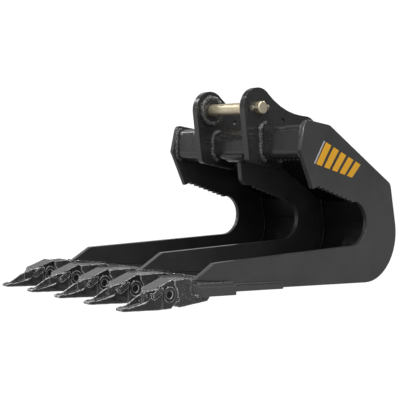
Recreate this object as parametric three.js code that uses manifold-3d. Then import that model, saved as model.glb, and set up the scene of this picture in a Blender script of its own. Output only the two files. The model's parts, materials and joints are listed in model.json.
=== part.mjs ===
// Slab-grab excavator bucket, built as a weldment with turning pins and two-piece teeth.
// Millimetres. X runs across the bucket, the teeth point towards -Y, +Z is up.
// The parts are drawn in the bucket's own frame: Z = 0 is the bottom edge of the side plates and
// X = 0 is the mid-plane. The whole bucket is then tipped so that it stands on its teeth and heel.
import * as THREE from 'three';
import { ConvexGeometry } from 'three/addons/geometries/ConvexGeometry.js';
import { mergeVertices } from 'three/addons/utils/BufferGeometryUtils.js';
import Module from 'manifold-3d';

const wasm = await Module();
wasm.setup();

// ---------------------------------------------------------------- driving dimensions
const FIT = 0.3; // gap between pieces that touch
const ARC_FIT = 1; // the same between nested curves, whose facets don't line up
const WIDTH = 914; // over the side plates
const PLATE_T = 25; // side and centre plates
const FLOOR_T = 25;
const SHELL_T = 20; // heel, back and top plates
const SHELL_INSET = 6; // shell plates sit inside the side plates' edge for the weld
const TOP_INSET = 70; // the top plate is sunk deeper to clear the linkage

const HEEL = { y: 898, z: 230, r: 230 };
const REAR_LEAN = THREE.MathUtils.degToRad(15.5); // the rear edge leans forward
const TOP_REAR = [1065, 488, 40]; // corners are [y, z, corner radius]
const TOP_FRONT = [578, 739, 50];
const BROW = [410, 751, 28]; // top front corner of the side plates
const KNEE = [384, 611, 5]; // where the front edge turns back into the jaw
const JAW_TIP = [481, 439];
const THROAT = { y: 780, z: 286, r: 106, to: Math.PI * 0.45 }; // round end of the C opening
const JAW_FIRST = [522, 456]; // first notch of the toothed jaw edge
const JAW_LAST = [790, 390];
const JAW_TEETH = 8;
const JAW_TOOTH_DEPTH = 12;
const JAW_RAKE = 0.75; // how far along its pitch each jaw tooth has its point
const CENTRE_JAW_TIP = [466, 450, 45]; // the centre plate's jaw is set back and rounded
const CENTRE_JAW_TOP = 446;
const ARM_SLOPE = Math.atan2(65, 896); // the lower arm's top edge falls towards the teeth
const ARM_TIP_R = 8;
const SIDE_ARM_FRONT = -109;
const CENTRE_ARM_FRONT = -23;
const TOE_SLOPE = THREE.MathUtils.degToRad(32.5); // sloping front end of the arms

const LIP_FRONT = -240;
const LIP_BACK = -7;
const LIP_T = 51;
const LIP_TOP_FRONT = 48;
const LIP_TOP_BACK = 34;
// Bars welded outside the side plates at the lip.
const BAR = { t: 30, h: 52, top: 36, front: -232, slopeFront: 40, slopeTop: 16 };
const STRIP = { t: 10, h: 25, bottom: -5, back: 299 };

const TUBE = { front: 410, back: 560, bottom: 572, wall: 16, r: 28, chin: 40 };
const OUTER_TUBE = { ...TUBE, top: 728, brow: 28 }; // between each ear and its side plate
const MIDDLE_TUBE = { ...TUBE, top: 695, brow: 40 }; // lower, between the ears
const SADDLE = { halfWidth: 65, t: 12, back: 545, lap: THREE.MathUtils.degToRad(21.6) };

const EAR_GAP = 300; // clear width for the stick and link
const EAR_T = 32;
const EAR_R = 95;
const VALLEY = { y: 690, z: 1213, r: 410 }; // hollow curve between the two pin lobes
const FRONT_AXIS = [385, 812];
const REAR_AXIS = [722, 708];
const LIFT_HOLE = [554, 767];
const LIFT_HOLE_R = 12;
const HOOK_CORNER = [340, 551, 30];
const HOOK_TIP = [TUBE.back, 527];

const PIN_D = 60;
const PIN_PROUD = 30; // each pin end stands this far outside its ear
const PIN_TURN = THREE.MathUtils.degToRad(8); // how far the cross bolts happen to be turned
const PIN_CHAMFER = 4;
const BUSH_OD = 80;
const BUSH_RUN = 0.6; // radial running clearance
const BOSS_OD = 118;
const BOSS_T = 12;
const BOLT = { d: 16, facets: 16, af: 24, head: 10, nut: 13, headAt: 56, nutAt: 31, end: 46, set: 15 };

const TOOTH_COUNT = 5;
const TOOTH_PITCH = 216;
const TOOTH_W = 76;
const SNOUT = { w: 38, front: -574, round: 8, flare: 5, back: -545 };
const TIP_PAD = [[-574, -53, 5], [-566, -46, 8]]; // blunt end and the start of the flat pad on it
const TIP_RIB = [[-540, -41], [-484, -7], [-469, -1]]; // crest of the rib along the ramp's middle
const TIP_TOP = [[-440, 20], [-342, 60], [-330, 52], [-328, 30]]; // sloping top, then down behind it
const SCOOP = {
  rib: [[3, -542, -42], [3, -469, -2]], // edge of the rib's crest, foot to top
  valley: [[5, -542, -45], [17, -473, -29]], // where the rib's side meets the scoop's floor
  side: [[50, -542, -45], [50, -442, -20]], // past the tip's side
  brow: [50, -415, 24],
  above: 40,
};
const TIP_HEEL = [-341, -57]; // bottom rear corner, which the bucket stands on
const TIP_CHIN = [-560, -59, 8];
const TIP_BACK = -300; // the lug around the lock reaches about this far
const LUG = { drop: 4, r: 46, gap: 1, from: 0.7, tipTo: -0.95, adapterTo: -0.9 };
const ADAPTER_W = 70;
const ADAPTER = { front: -326, top: 54, chin: 33, legTop: 52, legBevel: [25, 8], back: -132 };
const PRY_GAP = { depth: 9, from: -0.22, to: -0.5 }; // notch for prising a worn tip off
const ADAPTER_SOLE = [[-322, -46], [-296, -54], [-150, -36], [-132, -13]];
const OUTER_LEG_END = -238; // the outer adapters' upper legs stop short of the arms
const INNER_LEG_END = -175;
const NOSE = { front: -430, back: TIP_BACK, halfBack: 24, halfFront: 10, w: 46, play: 1 };
const LOCK = { y: -355, z: 0, r: 15, depth: 13, drive: 4.5, driveDepth: 5, play: 0.4 };

const ROUND = 32; // facets on round pieces
const ARC_STEP = THREE.MathUtils.degToRad(7.5); // longest facet of a rounded outline

// ---------------------------------------------------------------- materials
function paint(color, roughness) {
  return new THREE.MeshStandardMaterial({ color, roughness, metalness: 0.1 });
}
const blackPlate = () => paint(0x2c2c2d, 0.45);
const blackCast = () => paint(0x353536, 0.5);
const insideBlack = () => paint(0x1c1c1d, 0.6);
const zincPlate = () => new THREE.MeshStandardMaterial({ color: 0xc9b98a, roughness: 0.35, metalness: 0.8 });
const bareSteel = () => new THREE.MeshStandardMaterial({ color: 0x8d8d8a, roughness: 0.4, metalness: 0.9 });
const bushSteel = () => new THREE.MeshStandardMaterial({ color: 0x4a4a49, roughness: 0.45, metalness: 0.7 });

// ---------------------------------------------------------------- small geometry helpers
// Points along an arc {y, z, r, from, to, cw}, both ends included.
function arcPoints({ y, z, r, from, to, cw = false }) {
  const full = 2 * Math.PI;
  const forward = (((to - from) % full) + full) % full;
  const sweep = cw ? forward - full : forward;
  const count = Math.max(2, Math.ceil(Math.abs(sweep) / ARC_STEP));
  return Array.from({ length: count + 1 }, (_, i) => {
    const angle = from + (sweep * i) / count;
    return [y + r * Math.cos(angle), z + r * Math.sin(angle)];
  });
}

// The arc that rounds a corner between the points before and after it.
function fillet(before, [y, z, r], after) {
  const corner = new THREE.Vector2(y, z);
  const back = new THREE.Vector2(...before).sub(corner).normalize();
  const ahead = new THREE.Vector2(...after).sub(corner).normalize();
  const half = Math.acos(back.dot(ahead)) / 2;
  const centre = back.clone().add(ahead).normalize().multiplyScalar(r / Math.sin(half)).add(corner);
  const angleTo = (side) => side.clone().multiplyScalar(r / Math.tan(half)).add(corner).sub(centre).angle();
  return { y: centre.x, z: centre.y, r, from: angleTo(back), to: angleTo(ahead), cw: back.cross(ahead) > 0 };
}

// Walks [y, z] or [y, z, cornerRadius] points and {y, z, r, from, to, cw} arcs into a closed shape.
function outline(steps) {
  const runs = steps.map((step) => (Array.isArray(step) ? [step] : arcPoints(step)));
  const points = runs.flatMap((run, i) => {
    const [y, z, r] = run[0];
    if (run.length > 1 || !r) return run.map(([py, pz]) => [py, pz]);
    const before = runs[(i + runs.length - 1) % runs.length].at(-1).slice(0, 2);
    const after = runs[(i + 1) % runs.length][0].slice(0, 2);
    return arcPoints(fillet(before, [y, z, r], after));
  });
  return new THREE.Shape(points.map(([y, z]) => new THREE.Vector2(y, z)));
}

// A closed ring of `facets` points, the first one on the +X side.
function circle(x, y, r, facets = ROUND) {
  const angles = Array.from({ length: facets }, (_, i) => (i * 2 * Math.PI) / facets);
  return new THREE.Path(angles.map((a) => new THREE.Vector2(x + r * Math.cos(a), y + r * Math.sin(a))));
}

// A (y, z) outline made into a plate that fills x0 to x1.
function across(shape, x0, x1) {
  const geometry = new THREE.ExtrudeGeometry(shape, { depth: x1 - x0, bevelEnabled: false });
  const toBucket = new THREE.Matrix4().makeBasis(
    new THREE.Vector3(0, 1, 0),
    new THREE.Vector3(0, 0, 1),
    new THREE.Vector3(1, 0, 0),
  );
  geometry.applyMatrix4(toBucket);
  geometry.translate(x0, 0, 0);
  return geometry;
}

// An (x, y) outline made into a slab that fills z0 to z1.
function upwards(shape, z0, z1) {
  const geometry = new THREE.ExtrudeGeometry(shape, { depth: z1 - z0, bevelEnabled: false });
  geometry.translate(0, 0, z0);
  return geometry;
}

// A turned piece about the X axis from [radius, x] profile points.
function turned(profile, closed) {
  const points = profile.map(([r, x]) => new THREE.Vector2(r, x));
  if (closed) points.push(points[0].clone());
  const geometry = new THREE.LatheGeometry(points, ROUND);
  geometry.rotateZ(-Math.PI / 2);
  return geometry;
}

function ring(outer, inner, x0, x1) {
  return turned([[inner, x0], [outer, x0], [outer, x1], [inner, x1]], true);
}

function solid(geometry) {
  const bare = geometry.clone();
  bare.deleteAttribute('normal');
  bare.deleteAttribute('uv');
  const merged = mergeVertices(bare, 1e-4);
  const vertProperties = Float32Array.from(merged.attributes.position.array);
  const triVerts = Uint32Array.from(merged.index.array);
  return new wasm.Manifold(new wasm.Mesh({ numProp: 3, vertProperties, triVerts }));
}

function geometryOf(manifold) {
  const mesh = manifold.getMesh();
  const geometry = new THREE.BufferGeometry();
  geometry.setAttribute('position', new THREE.BufferAttribute(Float32Array.from(mesh.vertProperties), 3));
  geometry.setIndex(new THREE.BufferAttribute(Uint32Array.from(mesh.triVerts), 1));
  geometry.computeVertexNormals();
  return geometry;
}

function part(name, geometry, material) {
  const mesh = new THREE.Mesh(geometry, material);
  mesh.name = name;
  return mesh;
}

// Where the line through p along d crosses the line through q along e.
function meet(p, d, q, e) {
  const cross = d[0] * e[1] - d[1] * e[0];
  const t = ((q[0] - p[0]) * e[1] - (q[1] - p[1]) * e[0]) / cross;
  return [p[0] + d[0] * t, p[1] + d[1] * t];
}

// ---------------------------------------------------------------- lines of the shell
const rearOut = [Math.cos(REAR_LEAN), Math.sin(REAR_LEAN)]; // outward from the rear edge
const rearUp = [-rearOut[1], rearOut[0]];
const roofRun = (() => {
  const run = new THREE.Vector2(TOP_FRONT[0] - TOP_REAR[0], TOP_FRONT[1] - TOP_REAR[1]).normalize();
  return [run.x, run.y];
})();
const roofOut = [roofRun[1], -roofRun[0]]; // outward from the sloping top edge

function rearLine(inset) {
  const reach = HEEL.r - inset;
  return [HEEL.y + rearOut[0] * reach, HEEL.z + rearOut[1] * reach];
}

function roofLine(inset) {
  return [TOP_REAR[0] - roofOut[0] * inset, TOP_REAR[1] - roofOut[1] * inset];
}

function armTop(y) {
  const tangent = THROAT.z - THROAT.r / Math.cos(ARM_SLOPE);
  return tangent + (y - THROAT.y) * Math.tan(ARM_SLOPE);
}

function lipTop(y) {
  return LIP_TOP_BACK + ((LIP_BACK - y) / (LIP_BACK - LIP_FRONT)) * (LIP_TOP_FRONT - LIP_TOP_BACK);
}

// Toe of an arm whose top corner is at y: follows the toe slope down to the lip.
function toe(y) {
  const drop = [-Math.cos(TOE_SLOPE), -Math.sin(TOE_SLOPE)];
  const lipRun = [LIP_FRONT - LIP_BACK, LIP_TOP_FRONT - LIP_TOP_BACK];
  return meet([y, armTop(y)], drop, [LIP_BACK, LIP_TOP_BACK + FIT], lipRun);
}

// The toothed upper edge of the C, from the round throat forward to notch number `first`.
function jawEdge(first) {
  const points = [];
  const pitch = [(JAW_LAST[0] - JAW_FIRST[0]) / JAW_TEETH, (JAW_LAST[1] - JAW_FIRST[1]) / JAW_TEETH];
  for (let i = JAW_TEETH; i > first; i -= 1) {
    const notch = [JAW_FIRST[0] + pitch[0] * i, JAW_FIRST[1] + pitch[1] * i];
    const point = [notch[0] - pitch[0] * JAW_RAKE, notch[1] - pitch[1] - JAW_TOOTH_DEPTH];
    points.push(notch, point);
  }
  points.push([JAW_FIRST[0] + pitch[0] * first, JAW_FIRST[1] + pitch[1] * first]);
  return points;
}

// The C opening from the toe of the arm, round the throat and out along the jaw.
function mouth(armFront, firstNotch) {
  const throat = { ...THROAT, from: -Math.PI / 2 + ARM_SLOPE };
  return [toe(armFront), [armFront, armTop(armFront), ARM_TIP_R], throat, ...jawEdge(firstNotch)];
}

// ---------------------------------------------------------------- plates
function sidePlate(name, x0) {
  const rearCorner = meet(rearLine(0), rearUp, [0, 0], [1, 0]);
  const shape = outline([
    ...mouth(SIDE_ARM_FRONT, 0),
    JAW_TIP,
    KNEE,
    BROW,
    TOP_FRONT,
    TOP_REAR,
    [...rearCorner, HEEL.r],
    [LIP_BACK + FIT, 0],
    [LIP_BACK + FIT, LIP_TOP_BACK + FIT],
  ]);
  return part(name, across(shape, x0, x0 + PLATE_T), blackPlate());
}

function centrePlate() {
  const saddleBottom = TUBE.bottom - SADDLE.t - FIT;
  const roof = roofLine(TOP_INSET + SHELL_T + FIT);
  const rear = rearLine(SHELL_INSET + SHELL_T + FIT);
  const floorTop = SHELL_INSET + FLOOR_T + FIT;
  const heelR = HEEL.r - SHELL_INSET - SHELL_T - ARC_FIT;
  const floorAt = Math.acos((HEEL.z - floorTop) / heelR) - Math.PI / 2;
  const shape = outline([
    ...mouth(CENTRE_ARM_FRONT, 1),
    CENTRE_JAW_TIP,
    [CENTRE_JAW_TOP, saddleBottom],
    [SADDLE.back + FIT, saddleBottom],
    [SADDLE.back + FIT, TUBE.bottom - FIT],
    [TUBE.back + FIT, TUBE.bottom - FIT],
    meet([TUBE.back + FIT, 0], [0, 1], roof, roofRun),
    meet(rear, rearUp, roof, roofRun),
    { ...HEEL, r: heelR, from: REAR_LEAN, to: floorAt, cw: true },
    [LIP_BACK + FIT, floorTop],
    [LIP_BACK + FIT, LIP_TOP_BACK + FIT],
  ]);
  return part('centre_plate', across(shape, -PLATE_T / 2, PLATE_T / 2), blackPlate());
}

const innerHalf = WIDTH / 2 - PLATE_T - FIT; // half width between the side plates

function floorPlate() {
  const shape = outline([
    [LIP_BACK + FIT, SHELL_INSET],
    [HEEL.y - FIT, SHELL_INSET],
    [HEEL.y - FIT, SHELL_INSET + FLOOR_T],
    [LIP_BACK + FIT, SHELL_INSET + FLOOR_T],
  ]);
  return part('floor_plate', across(shape, -innerHalf, innerHalf), insideBlack());
}

function heelWrapper() {
  const outer = HEEL.r - SHELL_INSET;
  const from = -Math.PI / 2;
  const shape = outline([
    { ...HEEL, r: outer, from, to: REAR_LEAN },
    { ...HEEL, r: outer - SHELL_T, from: REAR_LEAN, to: from, cw: true },
  ]);
  return part('heel_wrapper', across(shape, -innerHalf, innerHalf), insideBlack());
}

function backPlate() {
  const outer = rearLine(SHELL_INSET);
  const inner = rearLine(SHELL_INSET + SHELL_T);
  const lift = (p) => [p[0] + rearUp[0] * FIT, p[1] + rearUp[1] * FIT];
  const rim = roofLine(2 * SHELL_INSET);
  const shape = outline([
    lift(outer),
    meet(outer, rearUp, rim, roofRun),
    meet(inner, rearUp, rim, roofRun),
    lift(inner),
  ]);
  return part('back_plate', across(shape, -innerHalf, innerHalf), insideBlack());
}

function topPlate() {
  const upper = roofLine(TOP_INSET);
  const lower = roofLine(TOP_INSET + SHELL_T);
  const rear = rearLine(SHELL_INSET + SHELL_T + FIT);
  const tubeFace = [TUBE.back + FIT, 0];
  const shape = outline([
    meet(rear, rearUp, upper, roofRun),
    meet(tubeFace, [0, 1], upper, roofRun),
    meet(tubeFace, [0, 1], lower, roofRun),
    meet(rear, rearUp, lower, roofRun),
  ]);
  return part('top_plate', across(shape, -innerHalf, innerHalf), blackPlate());
}

function lipPlate() {
  const shape = outline([
    [LIP_BACK, LIP_TOP_BACK],
    [LIP_FRONT, LIP_TOP_FRONT],
    [LIP_FRONT, LIP_TOP_FRONT - LIP_T],
    [LIP_BACK, LIP_TOP_BACK - LIP_T],
  ]);
  return part('lip_plate', across(shape, -WIDTH / 2, WIDTH / 2), blackPlate());
}

function barSection(grow) {
  return outline([
    [BAR.front - grow, BAR.top + grow],
    [BAR.front - grow, BAR.top - BAR.h - grow],
    [LIP_BACK, BAR.top - BAR.h - grow],
    [LIP_BACK, BAR.top + grow],
  ]);
}

// Lip bar on one side; its top and its front end slope in from the side plate to its outer face.
function lipBar(name, side) {
  const bottom = BAR.top - BAR.h;
  const face = (x, front, top) => [front, LIP_BACK].flatMap((y) => [[x, y, bottom], [x, y, top]]);
  const inner = face(side * (WIDTH / 2 + FIT), BAR.front, BAR.top);
  const outer = face(side * (WIDTH / 2 + FIT + BAR.t), BAR.front + BAR.slopeFront, BAR.top - BAR.slopeTop);
  const corners = [...inner, ...outer].map((corner) => new THREE.Vector3(...corner));
  return part(name, geometryOf(solid(new ConvexGeometry(corners))), blackPlate());
}

function sideStrip(name, x0) {
  const shape = outline([
    [LIP_BACK + FIT, STRIP.bottom],
    [STRIP.back, STRIP.bottom],
    [STRIP.back, STRIP.bottom + STRIP.h],
    [LIP_BACK + FIT, STRIP.bottom + STRIP.h],
  ]);
  return part(name, across(shape, x0, x0 + STRIP.t), blackPlate());
}

// ---------------------------------------------------------------- torque tube
// Section of a tube length; `depth` moves it in from the outer skin.
function tubeSection({ front, back, bottom, top, r, chin, brow }, depth) {
  const turn = Math.PI / 2;
  return outline([
    { y: front + chin, z: bottom + chin, r: chin - depth, from: 2 * turn, to: 3 * turn },
    { y: back - r, z: bottom + r, r: r - depth, from: 3 * turn, to: 4 * turn },
    { y: back - r, z: top - r, r: r - depth, from: 0, to: turn },
    { y: front + brow, z: top - brow, r: brow - depth, from: turn, to: 2 * turn },
  ]);
}

function tubeLength(name, tube, x0, x1) {
  const shape = tubeSection(tube, 0);
  shape.holes.push(tubeSection(tube, tube.wall));
  return part(name, across(shape, x0, x1), blackPlate());
}

// Bent doubler between the tube's chin and the centre plate.
function tubeSaddle() {
  const chin = { y: TUBE.front + TUBE.chin, z: TUBE.bottom + TUBE.chin };
  const start = Math.PI + SADDLE.lap;
  const down = Math.PI * 1.5;
  const shape = outline([
    { ...chin, r: TUBE.chin + SADDLE.t, from: start, to: down },
    [SADDLE.back, TUBE.bottom - SADDLE.t],
    [SADDLE.back, TUBE.bottom - FIT],
    { ...chin, r: TUBE.chin + ARC_FIT, from: down, to: start, cw: true },
  ]);
  return part('tube_saddle', across(shape, -SADDLE.halfWidth, SADDLE.halfWidth), blackPlate());
}

// ---------------------------------------------------------------- hinge ears
// Angle on a pin lobe where the line from an outside point touches it, on its front side.
function touchAngle(point, axis, radius) {
  const run = new THREE.Vector2(axis[0] - point[0], axis[1] - point[1]);
  return run.angle() + Math.asin(radius / run.length()) + Math.PI / 2;
}

function hingeEar(name, x0) {
  const [frontY, frontZ] = FRONT_AXIS;
  const [rearY, rearZ] = REAR_AXIS;
  const valleyAt = Math.atan2(VALLEY.z - frontZ, VALLEY.y - frontY);
  const lobeStart = touchAngle(HOOK_CORNER, FRONT_AXIS, EAR_R);
  const roof = roofLine(TOP_INSET - FIT);
  const shape = outline([
    HOOK_TIP,
    HOOK_CORNER,
    { y: frontY, z: frontZ, r: EAR_R, from: lobeStart, to: valleyAt, cw: true },
    { ...VALLEY, from: valleyAt + Math.PI, to: Math.PI * 1.5 },
    { y: rearY, z: rearZ, r: EAR_R, from: Math.PI / 2, to: 0, cw: true },
    meet([rearY + EAR_R, 0], [0, 1], roof, roofRun),
    meet(HOOK_TIP, [0, 1], roof, roofRun),
  ]);
  const bore = BUSH_OD / 2 + FIT;
  shape.holes.push(
    circle(frontY, frontZ, bore),
    circle(rearY, rearZ, bore),
    circle(...LIFT_HOLE, LIFT_HOLE_R),
  );
  return part(name, across(shape, x0, x0 + EAR_T), blackPlate());
}

// Moves a piece turned about the X axis onto a pin axis.
function onAxis(mesh, [y, z], x = 0) {
  mesh.position.set(x, y, z);
  return mesh;
}

// The same for a pin and its cross bolts, which are turned together about the pin axis.
function onPin(mesh, axis, x = 0) {
  mesh.rotation.x = PIN_TURN;
  return onAxis(mesh, axis, x);
}

// Weld-on boss ring on the inner face of an ear; side is -1 or +1.
function earBoss(name, side, axis) {
  const face = EAR_GAP / 2 - FIT;
  const geometry = ring(BOSS_OD / 2, BUSH_OD / 2 + FIT, side * (face - BOSS_T), side * face);
  return onAxis(part(name, side < 0 ? facingOut(geometry) : geometry, blackPlate()), axis);
}

// Turned profiles that run towards -X come out inside-out, so their faces are flipped back.
function facingOut(geometry) {
  const index = geometry.index.array;
  for (let i = 0; i < index.length; i += 3) {
    [index[i], index[i + 1]] = [index[i + 1], index[i]];
  }
  return geometry;
}

function earBush(name, side, axis) {
  const from = EAR_GAP / 2 - FIT - BOSS_T;
  const to = EAR_GAP / 2 + EAR_T;
  const geometry = ring(BUSH_OD / 2, PIN_D / 2 + BUSH_RUN, side * from, side * to);
  return onAxis(part(name, side < 0 ? facingOut(geometry) : geometry, bushSteel()), axis);
}

// ---------------------------------------------------------------- pins and their cross bolts
const pinEnd = EAR_GAP / 2 + EAR_T + PIN_PROUD;
const boltX = EAR_GAP / 2 + EAR_T + BOLT.set;

// A piece turned about the X axis, swung so that its length runs across the pin along Y.
function boltWise(geometry) {
  geometry.rotateZ(Math.PI / 2);
  return geometry;
}

function hingePin(name, axis) {
  const r = PIN_D / 2;
  const shaft = solid(turned([
    [0, -pinEnd],
    [r - PIN_CHAMFER, -pinEnd],
    [r, -pinEnd + PIN_CHAMFER],
    [r, pinEnd - PIN_CHAMFER],
    [r - PIN_CHAMFER, pinEnd],
    [0, pinEnd],
  ]));
  const drilled = [-1, 1].reduce((body, side) => {
    const reach = BOLT.d / 2 + FIT;
    const drill = boltWise(turned([[0, -PIN_D], [reach, -PIN_D], [reach, PIN_D], [0, PIN_D]]));
    drill.translate(side * boltX, 0, 0);
    return body.subtract(solid(drill));
  }, shaft);
  return onPin(part(name, geometryOf(drilled), zincPlate()), axis);
}

function hexagon(acrossFlats) {
  return new THREE.Shape(circle(0, 0, acrossFlats / Math.sqrt(3), 6).getPoints());
}

// Hexagonal prism along Y from y0 to y1.
function hexAlong(y0, y1, shape) {
  const geometry = new THREE.ExtrudeGeometry(shape, { depth: y1 - y0, bevelEnabled: false });
  geometry.rotateX(-Math.PI / 2);
  geometry.translate(0, y0, 0);
  return geometry;
}

function pinBolt(name, side, axis) {
  const head = solid(hexAlong(-BOLT.headAt - BOLT.head, -BOLT.headAt, hexagon(BOLT.af)));
  const rootAt = BOLT.headAt + 1; // the shank starts just inside the head
  const shank = new THREE.CylinderGeometry(BOLT.d / 2, BOLT.d / 2, rootAt + BOLT.end, BOLT.facets);
  shank.translate(0, (BOLT.end - rootAt) / 2, 0);
  return onPin(part(name, geometryOf(head.add(solid(shank))), zincPlate()), axis, side * boltX);
}

function pinNut(name, side, axis) {
  const shape = hexagon(BOLT.af);
  shape.holes.push(circle(0, 0, BOLT.d / 2 + FIT));
  const geometry = hexAlong(BOLT.nutAt, BOLT.nutAt + BOLT.nut, shape);
  return onPin(part(name, geometry, zincPlate()), axis, side * boltX);
}

// ---------------------------------------------------------------- teeth
function planShape(points) {
  const shape = new THREE.Shape();
  const mirrored = points.map(([x, y]) => [-x, y]).reverse();
  [...points, ...mirrored].forEach(([x, y], i) => {
    if (i === 0) shape.moveTo(x, y);
    else shape.lineTo(x, y);
  });
  shape.closePath();
  return shape;
}

// The nose of the adapter; grown by `grow` it is the pocket in the tip.
function noseSolid(grow) {
  const middle = LOCK.z;
  const profile = outline([
    [NOSE.front - grow, middle - NOSE.halfFront - grow],
    [NOSE.back, middle - NOSE.halfBack - grow],
    [NOSE.back, middle + NOSE.halfBack + grow],
    [NOSE.front - grow, middle + NOSE.halfFront + grow],
  ]);
  return solid(across(profile, -NOSE.w / 2 - grow, NOSE.w / 2 + grow));
}

// Round recess for the turn-lock, from outside x on the +X side in to depth.
function lockRecess(grow) {
  const outside = TOOTH_W / 2 + 1;
  const inside = TOOTH_W / 2 - LOCK.depth - grow;
  const recess = turned([[0, inside], [LOCK.r + grow, inside], [LOCK.r + grow, outside], [0, outside]]);
  recess.translate(0, LOCK.y, LOCK.z);
  return solid(recess);
}

// The scoop on one side of a tip's central rib, under the brow of its flat top.
function scoop(side) {
  const edge = [...SCOOP.rib, SCOOP.side[0], SCOOP.brow].map(([x, y]) => [x, y, SCOOP.above]);
  const points = [...SCOOP.rib, ...SCOOP.valley, ...SCOOP.side, SCOOP.brow, ...edge];
  return solid(new ConvexGeometry(points.map(([x, y, z]) => new THREE.Vector3(side * x, y, z))));
}

function toothTip(name, x) {
  const profile = outline([
    ...TIP_PAD,
    ...TIP_RIB,
    ...TIP_TOP,
    { ...LUG, y: LOCK.y, z: LOCK.z - LUG.drop, to: LUG.tipTo, cw: true },
    TIP_HEEL,
    TIP_CHIN,
  ]);
  const plan = planShape([
    [SNOUT.w / 2 - SNOUT.round, SNOUT.front],
    [SNOUT.w / 2, SNOUT.front + SNOUT.round],
    [SNOUT.w / 2 + SNOUT.flare, SNOUT.back],
    [TOOTH_W / 2, TIP_TOP[0][0]],
    [TOOTH_W / 2, TIP_BACK],
  ]);
  const block = solid(upwards(plan, -TOOTH_W, TOOTH_W));
  const body = solid(across(profile, -TOOTH_W / 2, TOOTH_W / 2)).intersect(block);
  const scooped = body.subtract(scoop(-1)).subtract(scoop(1));
  const whole = scooped.subtract(noseSolid(NOSE.play)).subtract(lockRecess(LOCK.play));
  return part(name, geometryOf(whole), blackCast()).translateX(x);
}

// Forked adapter at x, straddling the lip and notched for the lip bars; legEnd is where its
// upper leg stops.
function toothAdapter(name, x, legEnd) {
  const half = ADAPTER_W / 2;
  const saddle = { y: LOCK.y, z: LOCK.z - LUG.drop, r: LUG.r + LUG.gap, cw: true };
  const profile = outline([
    ...ADAPTER_SOLE,
    [ADAPTER.back, 0],
    [legEnd, 0],
    [legEnd, ADAPTER.legTop],
    [legEnd - ADAPTER.legBevel[0], ADAPTER.legTop + ADAPTER.legBevel[1]],
    [ADAPTER.front, ADAPTER.top],
    [ADAPTER.front, ADAPTER.chin],
    { ...saddle, from: LUG.from, to: PRY_GAP.from },
    { ...saddle, r: saddle.r + PRY_GAP.depth, from: PRY_GAP.from, to: PRY_GAP.to },
    { ...saddle, from: PRY_GAP.to, to: LUG.adapterTo },
  ]);
  const slot = outline([
    [0, lipTop(0) + FIT],
    [LIP_FRONT - FIT, lipTop(LIP_FRONT) + FIT],
    [LIP_FRONT - FIT, lipTop(LIP_FRONT) - LIP_T - FIT],
    [0, lipTop(0) - LIP_T - FIT],
  ]);
  const body = solid(across(profile, -half, half)).subtract(solid(across(slot, -half - 1, half + 1)));
  const clear = [-WIDTH / 2 - TOOTH_W, WIDTH / 2].reduce((rest, x0) => {
    const notch = across(barSection(FIT), x0 - x, x0 + TOOTH_W - x);
    return rest.subtract(solid(notch));
  }, body);
  const whole = clear.add(noseSolid(0)).subtract(lockRecess(LOCK.play));
  return part(name, geometryOf(whole), blackCast()).translateX(x);
}

// Quarter-turn lock with a square drive in its outer face.
function toothLock(name, x) {
  const face = TOOTH_W / 2;
  const inner = face - LOCK.depth;
  const disc = solid(turned([[0, inner], [LOCK.r, inner], [LOCK.r, face], [0, face]]));
  const drive = new THREE.BoxGeometry(LOCK.driveDepth * 2, LOCK.drive * 2, LOCK.drive * 2);
  drive.translate(face, 0, 0);
  const mesh = part(name, geometryOf(disc.subtract(solid(drive))), bareSteel());
  mesh.position.set(x, LOCK.y, LOCK.z);
  return mesh;
}

// ---------------------------------------------------------------- assembly
// Stands the bucket on its tooth heels and its round heel, over the middle of its footprint.
function standUp(bucket) {
  const toothHeel = new THREE.Vector2(...TIP_HEEL);
  const run = new THREE.Vector2(HEEL.y - toothHeel.x, HEEL.z - toothHeel.y);
  bucket.rotation.x = -(run.angle() - Math.asin(HEEL.r / run.length()));
  bucket.updateMatrixWorld(true);
  const box = new THREE.Box3().setFromObject(bucket, true);
  const middle = box.getCenter(new THREE.Vector3());
  bucket.position.set(0, -middle.y, -box.min.z);
  bucket.updateMatrixWorld(true);
}

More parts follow.
